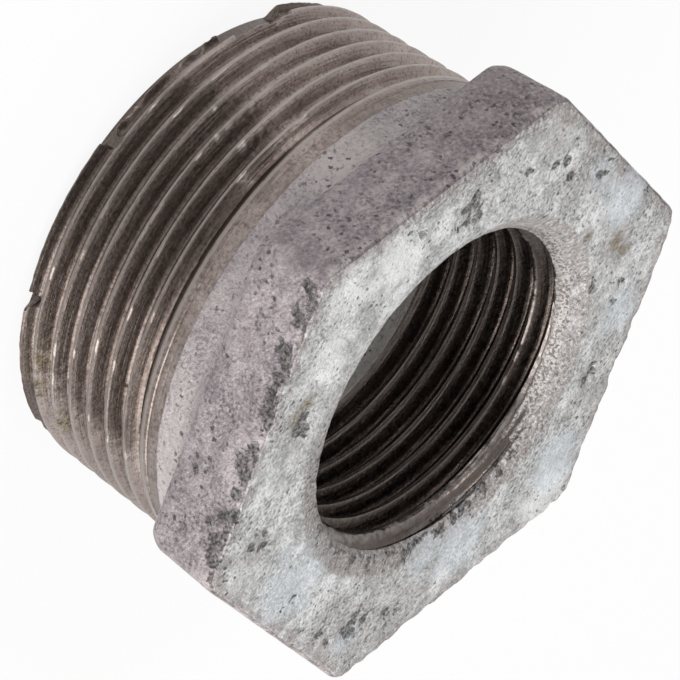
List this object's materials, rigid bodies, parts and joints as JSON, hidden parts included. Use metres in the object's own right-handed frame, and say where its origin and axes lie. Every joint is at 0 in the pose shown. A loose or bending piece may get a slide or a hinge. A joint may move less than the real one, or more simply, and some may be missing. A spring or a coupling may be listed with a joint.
{
  "type": "hexagon reducing bush",
  "caption": "Galvanised iron hexagon bush with a male taper pipe thread outside and a smaller female pipe thread through its bore.",
  "frame": {"origin": "centre of the male end face, on the bore's axis, at the height of that face", "axes": "+Z along the bore towards the hexagon face; +X square to one pair of the hexagon's flats; -Y through one of its corners"},
  "size_m": [0.052, 0.0592, 0.031],
  "materials": {
    "galvanised_iron": "dull hot-dip galvanised casting, brown oiled steel colour on the cut threads"
  },
  "bodies": {
    "root": {"hex_bushing": "galvanised_iron"}
  },
  "joints": []
}
